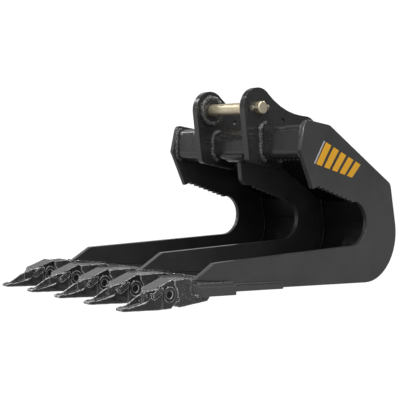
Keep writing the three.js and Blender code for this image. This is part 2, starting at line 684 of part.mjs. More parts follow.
function buildBucket() {
  const bucket = new THREE.Group();
  bucket.add(
    sidePlate('side_plate_left', -WIDTH / 2),
    sidePlate('side_plate_right', WIDTH / 2 - PLATE_T),
    centrePlate(),
    lipPlate(),
    floorPlate(),
    heelWrapper(),
    backPlate(),
    topPlate(),
    tubeLength('torque_tube_left', OUTER_TUBE, -innerHalf, -EAR_GAP / 2 - EAR_T - FIT),
    tubeLength('torque_tube_middle', MIDDLE_TUBE, -EAR_GAP / 2 + FIT, EAR_GAP / 2 - FIT),
    tubeLength('torque_tube_right', OUTER_TUBE, EAR_GAP / 2 + EAR_T + FIT, innerHalf),
    tubeSaddle(),
    lipBar('lip_bar_left', -1),
    lipBar('lip_bar_right', 1),
    sideStrip('side_strip_left', -WIDTH / 2 - STRIP.t - FIT),
    sideStrip('side_strip_right', WIDTH / 2 + FIT),
    hingeEar('hinge_ear_left', -EAR_GAP / 2 - EAR_T),
    hingeEar('hinge_ear_right', EAR_GAP / 2),
  );
  for (const [place, axis] of [['front', FRONT_AXIS], ['rear', REAR_AXIS]]) {
    bucket.add(hingePin(`${place}_pin`, axis));
    for (const [hand, side] of [['left', -1], ['right', 1]]) {
      bucket.add(
        earBoss(`${place}_boss_${hand}`, side, axis),
        earBush(`${place}_bush_${hand}`, side, axis),
        pinBolt(`${place}_pin_bolt_${hand}`, side, axis),
        pinNut(`${place}_pin_nut_${hand}`, side, axis),
      );
    }
  }
  for (let i = 0; i < TOOTH_COUNT; i += 1) {
    const x = (i - (TOOTH_COUNT - 1) / 2) * TOOTH_PITCH;
    const outermost = i === 0 || i === TOOTH_COUNT - 1;
    bucket.add(
      toothAdapter(`tooth_adapter_${i + 1}`, x, outermost ? OUTER_LEG_END : INNER_LEG_END),
      toothTip(`tooth_tip_${i + 1}`, x),
      toothLock(`tooth_lock_${i + 1}`, x),
    );
  }
  standUp(bucket);
  const group = new THREE.Group();
  group.add(bucket);
  return group;
}

const group = buildBucket();
export default group;
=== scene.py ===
import json
import math

import bmesh
import bpy
from mathutils import Matrix, Vector, noise

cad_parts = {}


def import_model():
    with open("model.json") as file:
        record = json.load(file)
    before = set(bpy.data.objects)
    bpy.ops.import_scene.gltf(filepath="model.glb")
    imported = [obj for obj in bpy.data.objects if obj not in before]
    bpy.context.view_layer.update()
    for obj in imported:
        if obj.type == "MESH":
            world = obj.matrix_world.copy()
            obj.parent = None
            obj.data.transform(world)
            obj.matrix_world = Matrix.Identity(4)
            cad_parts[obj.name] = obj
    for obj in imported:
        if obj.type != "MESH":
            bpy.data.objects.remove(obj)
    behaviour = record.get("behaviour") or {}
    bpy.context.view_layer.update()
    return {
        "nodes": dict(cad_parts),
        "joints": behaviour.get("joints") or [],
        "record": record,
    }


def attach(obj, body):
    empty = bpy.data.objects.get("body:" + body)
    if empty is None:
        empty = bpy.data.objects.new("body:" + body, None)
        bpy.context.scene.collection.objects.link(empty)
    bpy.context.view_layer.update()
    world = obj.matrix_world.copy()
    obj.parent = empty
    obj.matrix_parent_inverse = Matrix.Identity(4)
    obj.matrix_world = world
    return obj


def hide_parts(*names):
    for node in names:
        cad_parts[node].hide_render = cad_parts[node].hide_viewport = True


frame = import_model()

# ---------------------------------------------------------------- the bucket's own frame
# Sizes below are in millimetres in the bucket's own frame: X across, teeth towards -Y, Z = 0 at the
# side plates' bottom edge. The two pin joints say how the bucket stands in the row frame.
FRONT_AXIS = Vector((0, 385, 812))
REAR_AXIS = Vector((0, 722, 708))
PIN_AT = {joint["name"]: Vector(joint["pos_m"]) for joint in frame["joints"]}


def lean_of(run):
    return math.atan2(run.z, run.y)


TILT = lean_of(PIN_AT["rear_pin_spin"] - PIN_AT["front_pin_spin"]) - lean_of(REAR_AXIS - FRONT_AXIS)
TURN = Matrix.Rotation(TILT, 4, "X")
MM = Matrix.Scale(0.001, 4)
TO_ROW = Matrix.Translation(PIN_AT["front_pin_spin"]) @ TURN @ MM @ Matrix.Translation(-FRONT_AXIS)
TO_BUCKET = TO_ROW.inverted()

WIDTH = 914
PLATE_T = 25
EAR_GAP = 300
EAR_T = 32
TUBE = {"front": 410, "back": 560, "bottom": 572, "r": 28, "chin": 40}
OUTER_TUBE = {**TUBE, "top": 728, "brow": 28}
MIDDLE_TUBE = {**TUBE, "top": 695, "brow": 40}
BOSS_R = 59
TOOTH_PITCH = 216
LIP_FRONT = -240
LIP_BACK = -7
HEEL = {"y": 898, "z": 230, "r": 230}


# ---------------------------------------------------------------- materials
# Noise scales, in features per metre, from broad patches to fine grain.
DUST, CLOUD, WAVE, GLOSS, FILM_GLOSS, PATCH, LUMP = 2.2, 5.0, 9.0, 14.0, 30.0, 34.0, 38.0
FINE, STAIN, SCUFF, STIPPLE, PIT, BARE_GLOSS = 60.0, 80.0, 90.0, 105.0, 110.0, 120.0
PEEL, BARE_GRAIN, TURNED = 420.0, 600.0, 900.0
# The parts of a noise's 0 to 1 that a ramp spreads out.
MIDDLE = (0.35, 0.7)
WIDE = (0.3, 0.7)


class Graph:
    """A short way to write a material's node tree."""

    def __init__(self, name):
        self.material = bpy.data.materials.new(name)
        self.material.use_nodes = True
        self.tree = self.material.node_tree
        self.shader = self.tree.nodes["Principled BSDF"]

    def add(self, kind, inputs=(), **settings):
        node = self.tree.nodes.new(kind)
        for key, value in settings.items():
            setattr(node, key, value)
        for key, value in dict(inputs).items():
            if isinstance(value, bpy.types.NodeSocket):
                self.tree.links.new(value, node.inputs[key])
            else:
                node.inputs[key].default_value = value
        return node

    def place(self):
        return self.add("ShaderNodeTexCoord").outputs["Object"]

    def noise(self, scale, detail=3.0, rough=0.55, at=None):
        node = self.add("ShaderNodeTexNoise", {"Scale": scale, "Detail": detail, "Roughness": rough,
                                               "Vector": at or self.place()})
        return node.outputs["Fac"]

    def ramp(self, value, low, high, to_low=0.0, to_high=1.0):
        node = self.add("ShaderNodeMapRange", {"Value": value, "From Min": low, "From Max": high,
                                               "To Min": to_low, "To Max": to_high})
        return node.outputs["Result"]

    def mix(self, share, first, second):
        node = self.add("ShaderNodeMix", data_type="RGBA")
        first_colour, second_colour, mixed = node.inputs[6], node.inputs[7], node.outputs[2]
        for socket, value in ((node.inputs["Factor"], share), (first_colour, first), (second_colour, second)):
            if isinstance(value, bpy.types.NodeSocket):
                self.tree.links.new(value, socket)
            else:
                socket.default_value = value
        return mixed

    def times(self, first, second):
        return self.add("ShaderNodeMath", {0: first, 1: second}, operation="MULTIPLY").outputs[0]

    def bump(self, height, strength, distance, normal=None):
        inputs = {"Height": height, "Strength": strength, "Distance": distance}
        if normal is not None:
            inputs["Normal"] = normal
        return self.add("ShaderNodeBump", inputs).outputs["Normal"]

    def set(self, **inputs):
        for key, value in inputs.items():
            socket = self.shader.inputs[key.replace("_", " ")]
            if isinstance(value, bpy.types.NodeSocket):
                self.tree.links.new(value, socket)
            else:
                socket.default_value = value
        return self.material


def grey(level, warm=0.0):
    return (level * (1 + warm), level, level * (1 - warm), 1)


def darker(colour, share):
    return tuple(c * share for c in colour[:3]) + (1,)


def painted(name, level, rough, peel=0.12, dust=0.18, coat=0.0):
    """Semi-gloss black paint: faint cloudiness, orange peel, dust settled in broad patches."""
    g = Graph(name)
    cloud = g.ramp(g.noise(CLOUD, 4.0), *MIDDLE)
    fine = g.ramp(g.noise(FINE, 4.0), *MIDDLE)
    base = g.mix(cloud, grey(level * 0.82), grey(level * 1.15))
    dusty = g.times(g.ramp(g.noise(DUST, 5.0), 0.5, 0.75, 0.0, dust), fine)
    colour = g.mix(dusty, base, grey(level * 2.6, 0.03))
    gloss = g.ramp(g.noise(GLOSS, 4.0), *WIDE, rough - 0.06, rough + 0.08)
    skin = g.bump(g.noise(PEEL, 2.0), peel, 0.0006)
    waves = g.bump(g.noise(WAVE, 2.0), 0.10, 0.004, skin)
    return g.set(Base_Color=colour, Roughness=gloss, Normal=waves, Specular_IOR_Level=0.5,
                 Coat_Weight=coat, Coat_Roughness=0.1, Coat_Normal=waves)


EDGE_SHEEN = 0.75  # grey of the painted highlight on a casting's sharp edges
# Pointiness is 0.5 on a flat face, less in a hollow and more on an edge; HOLLOW sets where the painted shade
# goes, CREST where the painted highlight goes.
HOLLOW = (0.465, 0.495)
CREST = (0.512, 0.548)


def cast(name, level, rough, glint, coarse):
    """Black paint over a rough steel casting: pits with painted glints, painted shade in hollow spots, and a
    painted highlight in dashes along the edges.
    """
    g = Graph(name)
    pits = g.noise(PIT, 5.0, 0.6)
    lumps = g.noise(LUMP, 3.0)
    base = g.mix(g.ramp(lumps, *MIDDLE), grey(level * 0.75), grey(level * 1.25))
    # painted glints: light specks, five times the paint's grey, on the peaks of the pit noise
    painted_glints = g.mix(g.ramp(pits, 0.59, 0.70, 0.0, glint), base, grey(level * 5))
    bend = g.add("ShaderNodeNewGeometry").outputs["Pointiness"]
    # painted shade: the paint darkened to a third of its grey in hollow spots
    hollow_shade = g.mix(g.ramp(bend, *HOLLOW), grey(level * 0.3), painted_glints)
    # painted highlight: sharp edges lightened towards EDGE_SHEEN grey, in dashes set by noise
    sheen_gaps = g.ramp(g.noise(FINE, 3.0), 0.36, 0.56, 0.15, 1.0)
    edge_highlight = g.times(g.ramp(bend, *CREST), sheen_gaps)
    colour = g.mix(edge_highlight, hollow_shade, grey(EDGE_SHEEN))
    gloss = g.ramp(pits, *MIDDLE, rough + 0.1, rough - 0.1)
    rough_skin = g.bump(pits, 0.6 * coarse, 0.003)
    skin = g.bump(lumps, 0.3 * coarse, 0.003, rough_skin)
    return g.set(Base_Color=colour, Roughness=gloss, Normal=skin, Specular_IOR_Level=0.3,
                 Coat_Weight=0.7, Coat_Roughness=0.09, Coat_Normal=skin)


def weld_paint(name, level, rough):
    """Black paint over a weld: stippled, with small bright specks that are painted glints."""
    g = Graph(name)
    stipple = g.noise(STIPPLE, 3.0, 0.6)
    # painted glints: specks at six times the paint's grey on the stipple's peaks
    colour = g.mix(g.ramp(stipple, 0.58, 0.68), grey(level), grey(level * 6))
    gloss = g.ramp(stipple, 0.4, 0.7, rough + 0.08, rough - 0.06)
    skin = g.bump(stipple, 0.9, 0.006)
    return g.set(Base_Color=colour, Roughness=gloss, Normal=skin, Specular_IOR_Level=0.6,
                 Coat_Weight=1.0, Coat_Roughness=0.08, Coat_Normal=skin)


def plated(name, light, dark, rough):
    """Zinc plating with turned lines round the shaft and cloudy patches."""
    g = Graph(name)
    where = g.add("ShaderNodeSeparateXYZ", {"Vector": g.place()})
    lines = g.add("ShaderNodeTexNoise", {"Scale": TURNED, "Detail": 2.0, "W": where.outputs["X"]},
                  noise_dimensions="1D").outputs["Fac"]
    patches = g.ramp(g.noise(PATCH, 4.0), *MIDDLE)
    colour = g.mix(patches, dark, light)
    gloss = g.ramp(lines, *WIDE, rough - 0.06, rough + 0.1)
    skin = g.bump(lines, 0.1, 0.0003)
    return g.set(Base_Color=colour, Metallic=0.85, Roughness=gloss, Normal=skin)


def bare(name, colour, rough):
    """Bare machined steel with darker stains."""
    g = Graph(name)
    stain = g.mix(g.ramp(g.noise(STAIN, 4.0), *MIDDLE), darker(colour, 0.6), colour)
    gloss = g.ramp(g.noise(BARE_GLOSS), *WIDE, rough - 0.08, rough + 0.1)
    skin = g.bump(g.noise(BARE_GRAIN, 2.0), 0.15, 0.0003)
    return g.set(Base_Color=stain, Metallic=0.9, Roughness=gloss, Normal=skin)


def film(name, colour):
    """Printed film: flat colour with faint scuffs."""
    g = Graph(name)
    scuffs = g.ramp(g.noise(SCUFF, 5.0), 0.62, 0.8, 0.0, 0.35)
    scuffed = g.mix(scuffs, colour, darker(colour, 0.7))
    gloss = g.ramp(g.noise(FILM_GLOSS), *WIDE, 0.3, 0.45)
    skin = g.bump(g.noise(PEEL, 2.0), 0.06, 0.0004)
    return g.set(Base_Color=scuffed, Roughness=gloss, Normal=skin)


MATERIALS = {
    "side_plate": painted("side plate paint", 0.050, 0.42, coat=0.3),
    "ear_plate": painted("ear paint", 0.030, 0.26, coat=0.4),
    "frame_plate": painted("frame paint", 0.026, 0.26, peel=0.05, coat=0.5),
    "shell_plate": painted("shell paint", 0.018, 0.42),
    "centre_plate": painted("centre plate paint", 0.060, 0.38, coat=0.3),
    "lip_plate": painted("lip paint", 0.075, 0.36),
    # the adapter casting's paint is over twice as light as the tip's; part of that is a painted highlight for
    # the adapters' glints
    "adapter": cast("adapter casting", 0.050, 0.26, 0.8, 1.8),
    "tooth_tip": cast("tip casting", 0.022, 0.24, 0.12, 0.4),
    "pin": plated("pin zinc", (0.95, 0.86, 0.65, 1), (0.78, 0.68, 0.48, 1), 0.36),
    "bolt": plated("bolt zinc", (0.55, 0.50, 0.40, 1), (0.38, 0.34, 0.27, 1), 0.36),
    "bush": painted("bush overspray", 0.03, 0.3, peel=0.3),
    "lock": bare("lock steel", (0.05, 0.05, 0.05, 1), 0.5),
}
WELD = weld_paint("weld paint", 0.060, 0.20)
# painted shade: the welds inside the shell get a darker paint than WELD, for the shade inside the bucket
SHADED_WELD = painted("shaded inside weld paint", 0.022, 0.4)
# painted highlight: the fillet welds on the lip bars, their ends and the strips get a paint lighter than the
# plates', for the light line along their tops
LIT_FILLET = painted("lit fillet weld paint", 0.085, 0.36, peel=0.3)
YELLOW = film("yellow film", (1.0, 0.50, 0.025, 1))
PALE = film("pale film", (0.62, 0.6, 0.66, 1))
SLOT = {part["node"]: part["material_slot"] for part in frame["record"]["subparts"]}


# ---------------------------------------------------------------- plates, pins and bolts
WELD_GAP = 0.00002  # metres
FLAT_ANGLE = math.radians(0.5)
EDGE_ANGLE = math.radians(25)


def soften(node, width):
    """Gives a CAD node its edge bevel and its paint; its own mesh stays as packed."""
    thing = frame["nodes"][node]
    weld = thing.modifiers.new("weld", "WELD")
    weld.merge_threshold = WELD_GAP
    flat = thing.modifiers.new("flat", "DECIMATE")
    flat.decimate_type = "DISSOLVE"
    flat.angle_limit = FLAT_ANGLE
    bevel = thing.modifiers.new("bevel", "BEVEL")
    bevel.limit_method = "ANGLE"
    bevel.angle_limit = EDGE_ANGLE
    bevel.width = width / 1000
    bevel.segments = 3
    thing.data.shade_smooth()
    normals = thing.modifiers.new("normals", "WEIGHTED_NORMAL")
    normals.keep_sharp = False
    normals.weight = 90
    thing.data.materials.clear()
    thing.data.materials.append(MATERIALS[SLOT[node]])


BEVEL = {"side_plate": 4.0, "ear_plate": 6.0, "frame_plate": 2.0, "shell_plate": 1.5, "centre_plate": 3.0,
         "lip_plate": 3.0, "pin": 1.5, "bolt": 1.2, "bush": 1.0, "lock": 1.0}
BOSS_BEVEL = 2.0
for node in frame["nodes"]:
    if SLOT[node] in BEVEL:
        soften(node, BOSS_BEVEL if "boss" in node else BEVEL[SLOT[node]])


# ---------------------------------------------------------------- helpers for new pieces
def piece(name, points, faces, material, soft=True):
    """A new mesh from bucket-frame millimetres, riding on the bucket."""
    mesh = bpy.data.meshes.new(name)
    mesh.from_pydata([tuple(p) for p in points], [], faces)
    mesh.transform(TO_ROW)
    mesh.materials.append(material)
    faced = bmesh.new()
    faced.from_mesh(mesh)
    bmesh.ops.recalc_face_normals(faced, faces=faced.faces)
    faced.to_mesh(mesh)
    faced.free()
    if soft:
        mesh.shade_smooth()
    thing = bpy.data.objects.new(name, mesh)
    bpy.context.scene.collection.objects.link(thing)
    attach(thing, "bucket")
    return thing


def resample(path, step, closed):
    """Points along a path, evenly spaced at about `step`."""
    ends = path + [path[0]] if closed else path
    lengths = [0.0]
    for a, b in zip(ends, ends[1:]):
        lengths.append(lengths[-1] + (b - a).length)
    count = max(3, round(lengths[-1] / step))
    points, leg = [], 0
    for i in range(count if closed else count + 1):
        at = lengths[-1] * i / count
        while leg < len(ends) - 2 and lengths[leg + 1] < at:
            leg += 1
        share = (at - lengths[leg]) / max(lengths[leg + 1] - lengths[leg], 1e-9)
        points.append(ends[leg].lerp(ends[leg + 1], share))
    return points


BEAD_SIDES = 12
RIPPLE = 10.0  # millimetres from one ripple to the next
END_WIDTH, END_GROWTH = 0.35, 0.22  # an open bead starts narrow and widens point by point
UNEVEN = 0.18


def bead(name, path, radius, closed=False, ripple=0.2, wander=0.08, lumps=0.07, step=2.5, seed=1,
         paint=WELD):
    """A weld bead along a path: overlapping ripples, a little uneven in width and line."""
    path = resample([Vector(p) for p in path], step, closed)
    count = len(path)
    points, faces = [], []
    for i, p in enumerate(path):
        before = path[i - 1] if closed or i else p
        after = path[(i + 1) % count] if closed or i < count - 1 else p
        run = (after - before).normalized()
        along_x = abs(run.x) > 0.9
        side = (run.orthogonal() if along_x else Vector((1, 0, 0)).cross(run)).normalized()
        up = run.cross(side)
        at = i * step
        jitter = noise.noise(Vector((at * 0.05, seed * 7.3, 0.0)))
        swell = 1 + ripple * (abs(math.sin(math.pi * at / RIPPLE)) - 0.5) + UNEVEN * jitter
        if not closed:
            swell *= min(1.0, END_WIDTH + END_GROWTH * min(i, count - 1 - i))
        shift = wander * radius * noise.noise(Vector((at * 0.08, 3.1, seed * 2.7)))
        for k in range(BEAD_SIDES):
            a = 2 * math.pi * k / BEAD_SIDES
            out = side * math.cos(a) + up * math.sin(a)
            lump = 1 + lumps * 2 * noise.noise((p + out * radius) * 0.22)
            points.append(p + out * radius * swell * lump + side * shift)
    rings = count if closed else count - 1
    for i in range(rings):
        for k in range(BEAD_SIDES):
            a, b = i * BEAD_SIDES, ((i + 1) % count) * BEAD_SIDES
            k2 = (k + 1) % BEAD_SIDES
            faces.append((a + k, b + k, b + k2, a + k2))
    if not closed:
        faces.append(tuple(range(BEAD_SIDES)))
        faces.append(tuple(reversed(range(len(points) - BEAD_SIDES, len(points)))))
    return piece(name, points, faces, paint)


def arc(x, y, z, r, start, end, count=8):
    """Points on an arc in a plane across X."""
    angles = [start + (end - start) * i / count for i in range(count + 1)]
    return [Vector((x, y + r * math.cos(a), z + r * math.sin(a))) for a in angles]


def tube_loop(tube, x, grow):
    """A tube's outline at x, `grow` outside its faces: front bottom corner, back, then over the top."""
    turn = math.pi / 2
    chin, r, brow = tube["chin"], tube["r"], tube["brow"]
    return (arc(x, tube["front"] + chin, tube["bottom"] + chin, chin + grow, 2 * turn, 3 * turn)
            + arc(x, tube["back"] - r, tube["bottom"] + r, r + grow, 3 * turn, 4 * turn)
            + arc(x, tube["back"] - r, tube["top"] - r, r + grow, 0, turn)
            + arc(x, tube["front"] + brow, tube["top"] - brow, brow + grow, turn, 2 * turn))


def smooth(value, low, high):
    """0 below `low`, 1 above `high`, and an even S between."""
    share = min(1.0, max(0.0, (value - low) / (high - low)))
    return share * share * (3 - 2 * share)


# ---------------------------------------------------------------- welds round the tube and the ears
COLLAR_RUN = (0, 5, 11, 18, 26, 35, 45, 56, 68)
COLLAR_RISE = 13
COLLAR_FADE = 20
COLLAR_SINK = -4  # the collar's underside lies this far inside the tube


def collar_rise(tube, z):
    """How far the built-up weld stands over the tube beside an ear: most on top, none low down."""
    lowest, highest = tube["top"] - 62, tube["top"] - 6
    return COLLAR_RISE * smooth(z, lowest, highest)


def lifted(tube, x, rise):
    """The tube's outline at x, pushed out by rise(z) at each point."""
    pairs = zip(tube_loop(tube, x, 0), tube_loop(tube, x, 1))
    return [p + (q - p) * rise(p.z) for p, q in pairs]


def collar(name, tube, x0, way):
    """Built-up weld that tapers along the tube's top away from an ear."""
    rows = []
    for run in COLLAR_RUN:
        fade = math.exp(-run / COLLAR_FADE)
        rows.append(lifted(tube, x0 + way * run, lambda z: collar_rise(tube, z) * fade - 0.6))
    rows += [lifted(tube, x0 + way * run, lambda z: COLLAR_SINK) for run in reversed(COLLAR_RUN)]
    count = len(rows[0])
    points = [p + Vector((0, 0, 0.8 * noise.noise(p * 0.06))) for row in rows for p in row]
    faces = []
    for i in range(len(rows)):
        a, b = i * count, ((i + 1) % len(rows)) * count
        for k in range(count):
            k2 = (k + 1) % count
            faces.append((a + k, b + k, b + k2, a + k2))
    return piece(name, points, faces, MATERIALS["frame_plate"])


TOP_SKIPPED = 5  # points of the top back corner that the back run leaves out


def front_and_back(loop):
    """Parts a loop round a tube: a front run with both corners, and a back run that ends below the top."""
    corner = len(loop) // 4
    front = loop[3 * corner:] + loop[:corner]
    back = loop[corner:3 * corner - TOP_SKIPPED]
    return (("front", front), ("back", back))


ear_in, ear_out = EAR_GAP / 2, EAR_GAP / 2 + EAR_T
plate_in = WIDTH / 2 - PLATE_T
BEAD_SET = 4  # how far a bead's middle stands off the faces it joins
BOSS_SET = 5
STITCHES, STITCH_FROM, STITCH_PITCH, STITCH_LENGTH = 7, 40, 26, 13
STITCH_AT = (449, 571)
for hand, side in (("left", -1), ("right", 1)):
    for where, tube, face, way in (("outer", OUTER_TUBE, ear_out, side),
                                   ("inner", MIDDLE_TUBE, ear_in, -side)):
        loop = lifted(tube, side * face + way * BEAD_SET,
                      lambda z: BEAD_SET + collar_rise(tube, z))
        for run, path in front_and_back(loop):
            bead(f"weld_ear_{where}_{run}_{hand}", path, 11, ripple=0.3, lumps=0.2, seed=3 + side + face)
        collar(f"weld_collar_{where}_{hand}", tube, side * face, way)
    for run, path in front_and_back(tube_loop(OUTER_TUBE, side * (plate_in - 4), 3)):
        bead(f"weld_tube_end_{run}_{hand}", path, 9, lumps=0.2, seed=9 + side)
    for place, axis in (("front", FRONT_AXIS), ("rear", REAR_AXIS)):
        ring = arc(side * (ear_in - BOSS_SET), axis.y, axis.z, BOSS_R + BOSS_SET, 0, 2 * math.pi, 40)[:-1]
        bead(f"weld_boss_{place}_{hand}", ring, 10, True, ripple=0.35, lumps=0.18, wander=0.25,
             seed=12 + side)
    for k in range(STITCHES):
        x = side * (ear_out + STITCH_FROM + STITCH_PITCH * k)
        bead(f"weld_stitch_{hand}_{k + 1}", [(x, *STITCH_AT), (x + STITCH_LENGTH, *STITCH_AT)], 3.5,
             seed=20 + k)
SEAM_PROUD = 0.6
for hand, face, z, span in (("right", ear_out, 685, (328, 404)), ("left", -ear_in, 652, (349, 400))):
    bead(f"weld_seam_ear_{hand}", [(face + SEAM_PROUD, y, z) for y in span], 2.4, ripple=0.1)


# ---------------------------------------------------------------- welds along the lip, arms and shell
LIP_TOP_BACK, LIP_RISE = 34, 14
BACK_LEAN = math.radians(15.5)


def lip_top(y):
    """Height of the lip's sloping top face."""
    return LIP_TOP_BACK + (LIP_BACK - y) / (LIP_BACK - LIP_FRONT) * LIP_RISE


def shell_line(depth, end_z):
    """The shell's section `depth` inside the side plates' edge: floor, round heel, leaning back."""
    heel = arc(0, HEEL["y"], HEEL["z"], HEEL["r"] - depth, -math.pi / 2, BACK_LEAN, 16)
    up_the_back = Vector((0, -math.sin(BACK_LEAN), math.cos(BACK_LEAN)))
    top = heel[-1] + up_the_back * ((end_z - heel[-1].z) / math.cos(BACK_LEAN))
    return [Vector((0, LIP_BACK + 8, depth))] + heel + [top]


def at_x(path, x):
    return [Vector((x, p.y, p.z)) for p in path]


BAR_TOP = 36
BAR_FRONT = [(2, -234, 30), (2, -235, -4), (12, -222, -12), (26, -201, -13)]
CENTRE_FACE = 16
ARM_START, ARM_END = -206, (-12, 37)
CENTRE_START, TOE_AT, CENTRE_TOE = -140, -222, -160
for hand, side in (("left", -1), ("right", 1)):
    inner = side * (plate_in - 3)
    # the welds inside the shell take the darker paint of painted shade
    bead(f"weld_shell_out_{hand}", at_x(shell_line(3, 500), inner), 5, step=4, seed=31, paint=SHADED_WELD)
    bead(f"weld_shell_in_{hand}", at_x(shell_line(32, 470), side * (plate_in - 4)), 6, step=4, seed=33,
         paint=SHADED_WELD)
    middle = side * CENTRE_FACE
    bead(f"weld_centre_in_{hand}", at_x(shell_line(33, 470), middle), 6, step=4, seed=35, paint=SHADED_WELD)
    bead(f"weld_arm_lip_{hand}", [(inner, ARM_START, lip_top(ARM_START) + 3), (inner, *ARM_END)], 6,
         step=3, seed=37)
    bead(f"weld_centre_lip_{hand}", [(middle, CENTRE_START, lip_top(CENTRE_START) + 3),
                                     (middle, *ARM_END)], 6, seed=39)
    toe = [(side * x, TOE_AT, lip_top(TOE_AT) + 2) for x in (plate_in - 2, WIDTH / 2 - 1)]
    bead(f"weld_toe_{hand}", toe, 8, ripple=0.35, lumps=0.2, seed=41)
    bead(f"weld_bar_top_{hand}", [(side * (WIDTH / 2 + 8), y, BAR_TOP - 6) for y in (-212, -10)], 10,
         ripple=0.12, lumps=0.1, seed=43, paint=LIT_FILLET)
    bead(f"weld_bar_front_{hand}", [(side * (WIDTH / 2 + out), y, z) for out, y, z in BAR_FRONT], 7,
         ripple=0.3, lumps=0.2, seed=44)
    bead(f"weld_bar_end_{hand}", [(side * (WIDTH / 2 + 3), LIP_BACK + 3, z) for z in (32, -16)], 5,
         seed=45, paint=LIT_FILLET)
    bead(f"weld_strip_{hand}", [(side * (WIDTH / 2 + 2), y, 24) for y in (2, 297)], 5, ripple=0.1,
         seed=47, paint=LIT_FILLET)
bead("weld_toe_centre", [(x, CENTRE_TOE, lip_top(CENTRE_TOE) + 2) for x in (-12, 12)], 8, ripple=0.35,
     lumps=0.2, seed=51)
FLOOR_SEAMS = (("weld_floor_lip", (-plate_in + 6, -18), 53), ("weld_floor_lip_b", (18, plate_in - 6), 54))
for name, span, seed in FLOOR_SEAMS:
    bead(name, [(x, LIP_BACK + 3, 32) for x in span], 5, step=4, seed=seed)


# ---------------------------------------------------------------- teeth
def near_line(p, a, b):
    """Distance of (y, z) from the segment a-b."""
    run = b - a
    share = min(1.0, max(0.0, (p - a).dot(run) / run.length_squared))
    return (p - a - run * share).length


def fading(value, low, high):
    """1 below `low`, 0 above `high`."""
    return 1 - smooth(value, low, high)


def cast_noise(p, scale):
    return noise.fractal(p * scale, 1.0, 2.0, 3)


# Relief on a tip. Pairs are where a feature starts and where it is complete, along Y unless noted.
LEAF = (Vector((-432, -4)), Vector((-394, 22)))
LOCK_AT = Vector((-355, 0))
RIDGE_HALF = 4
RIM_FROM_MIDDLE = 35
RAMP_END, RIB_START = (-475, -452), (-552, -525)
RIM_START, RIM_END = (-535, -490), (-462, -450)
FACES_UP = (0.1, 0.5)
SIDE_FROM = -470
LEAF_EDGE, LUG_EDGE = (6, 11), (30, 35)  # distance from the leaf's line, and from the lock's middle
MOAT_INNER, MOAT_OUTER = (15, 17), (20, 23)
HOLLOW_START, HOLLOW_END, HOLLOW_TOP = (-452, -430), (-400, -380), (22, 32)
RIB_H, RIM_H, LEAF_H, LUG_H, MOAT_D, HOLLOW_D = 4.0, 5.0, 5.0, 4.0, 1.2, 7.0
TOP_FLAT, TOP_START = (0.7, 0.9), (-445, -435)
TIP_ROUGH, TIP_ROUGH_CUT, ADAPTER_ROUGH = 0.55, 0.4, 0.9


def sculpt_tip(p, out):
    """Moves a point of a tip: sharp rib, raised rims, leaf and lug on the sides, cast unevenness."""
    x, y, z = p
    rib = math.exp(-(x / RIDGE_HALF) ** 2) * smooth(y, *RIB_START) * fading(y, *RAMP_END)
    across = (abs(x) - RIM_FROM_MIDDLE) / RIDGE_HALF
    rim = math.exp(-across ** 2) * smooth(y, *RIM_START) * fading(y, *RIM_END)
    z += smooth(out.z, *FACES_UP) * (RIB_H * rib + RIM_H * rim)
    if abs(out.x) > 0.5 and y > SIDE_FROM:
        at = Vector((y, z))
        from_lock = (at - LOCK_AT).length
        leaf = fading(near_line(at, *LEAF), *LEAF_EDGE)
        lug = fading(from_lock, *LUG_EDGE)
        moat = smooth(from_lock, *MOAT_INNER) * fading(from_lock, *MOAT_OUTER)
        hollow = smooth(y, *HOLLOW_START) * fading(y, *HOLLOW_END) * (1 - leaf) * fading(z, *HOLLOW_TOP)
        x += math.copysign(LEAF_H * leaf + LUG_H * lug - MOAT_D * moat - HOLLOW_D * hollow, x)
    moved = Vector((x, y, z))
    flat = smooth(out.z, *TOP_FLAT) * smooth(y, *TOP_START)
    return moved + out * cast_noise(moved, 0.05) * (TIP_ROUGH - TIP_ROUGH_CUT * flat)


def sculpt_adapter(p, out):
    """Moves a point of an adapter: cast unevenness only."""
    return p + out * cast_noise(p, 0.045) * ADAPTER_ROUGH


def carved(node, voxel, sculpt, passes):
    """A cast piece: the CAD solid remeshed finely, rounded off and carved by `sculpt`."""
    mesh = frame["nodes"][node].data.copy()
    mesh.transform(TO_BUCKET)
    middle = (min(v.co.x for v in mesh.vertices) + max(v.co.x for v in mesh.vertices)) / 2
    centre = round(middle / TOOTH_PITCH) * TOOTH_PITCH
    thing = bpy.data.objects.new(node + "_blank", mesh)
    bpy.context.scene.collection.objects.link(thing)
    weld = thing.modifiers.new("weld", "WELD")
    weld.merge_threshold = WELD_GAP * 1000
    remesh = thing.modifiers.new("remesh", "REMESH")
    remesh.mode = "VOXEL"
    remesh.voxel_size = voxel
    relax = thing.modifiers.new("relax", "SMOOTH")
    relax.factor = 0.5
    relax.iterations = passes
    done = bpy.data.meshes.new_from_object(thing.evaluated_get(bpy.context.evaluated_depsgraph_get()))
    bpy.data.objects.remove(thing)
    normals = [v.normal.copy() for v in done.vertices]
    for v, out in zip(done.vertices, normals):
        local = Vector((v.co.x - centre, v.co.y, v.co.z))
        v.co = sculpt(local, out) + Vector((centre, 0, 0))
    done.transform(TO_ROW)
    done.shade_smooth()
    return done


def cast_piece(name, mesh, material, node):
    thing = bpy.data.objects.new(name, mesh)
    mesh.materials.clear()
    mesh.materials.append(material)
    bpy.context.scene.collection.objects.link(thing)
    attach(thing, "bucket")
    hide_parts(node)
    return thing


TOOTH_VOXEL = 2.2
TEETH = 5
for i in range(1, TEETH + 1):
    for kind, sculpt, passes in (("tip", sculpt_tip, 3), ("adapter", sculpt_adapter, 2)):
        node = f"tooth_{kind}_{i}"
        mesh = carved(node, TOOTH_VOXEL, sculpt, passes)
        cast_piece(f"cast_{kind}_{i}", mesh, MATERIALS[SLOT[node]], node)


